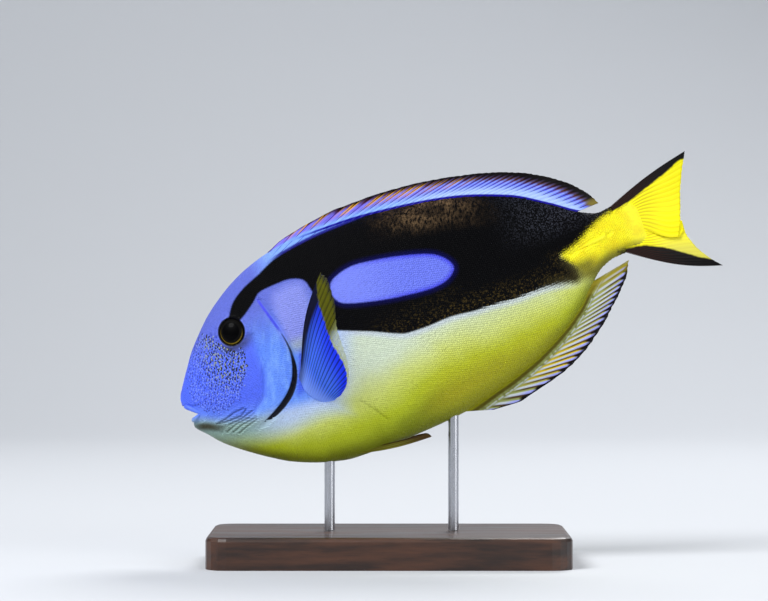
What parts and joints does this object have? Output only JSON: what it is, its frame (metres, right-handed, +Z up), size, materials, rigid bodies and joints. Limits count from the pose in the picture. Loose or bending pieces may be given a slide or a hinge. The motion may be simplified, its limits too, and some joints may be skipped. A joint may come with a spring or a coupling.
{
  "type": "regal blue tang display model",
  "caption": "Life-size display model of a regal blue tang with a yellow belly and tail, head tilted down, pectoral fins raised, held by two slim rods on a plain wooden base.",
  "frame": {"origin": "middle of the model's bounding box, at the underside of the base", "axes": "+X from head to tail, +Y to the fish's right side, +Z up"},
  "size_m": [0.2086, 0.0864, 0.1573],
  "materials": {
    "skin_head": "satin, bright blue with fine yellow speckles on the face",
    "skin_body": "satin, finely scaled: black saddle round a blue oval, yellow-green belly",
    "skin_tail": "satin, finely scaled, bright yellow",
    "eye": "polished, dark iris under a clear cornea",
    "fin_back": "satin membrane over rays, blue with a dark margin",
    "fin_belly": "satin membrane over rays, pale and yellow with a dark margin",
    "fin_tail": "satin membrane over rays, yellow with dark upper and lower edges",
    "fin_side": "satin membrane over rays, deep blue, paler outside",
    "fin_pelvic": "satin membrane over rays, pale",
    "base_wood": "dark oiled hardwood",
    "rod_steel": "brushed"
  },
  "bodies": {
    "root": {"head": "skin_head", "torso": "skin_body", "tail_peduncle": "skin_tail", "eye_left": "eye", "eye_right": "eye", "dorsal_fin": "fin_back", "anal_fin": "fin_belly", "caudal_fin_upper": "fin_tail", "caudal_fin_lower": "fin_tail", "pectoral_fin_left": "fin_side", "pectoral_fin_right": "fin_side", "pelvic_fin_left": "fin_pelvic", "pelvic_fin_right": "fin_pelvic", "stand_base": "base_wood", "stand_rod_front": "rod_steel", "stand_rod_rear": "rod_steel"}
  },
  "joints": []
}
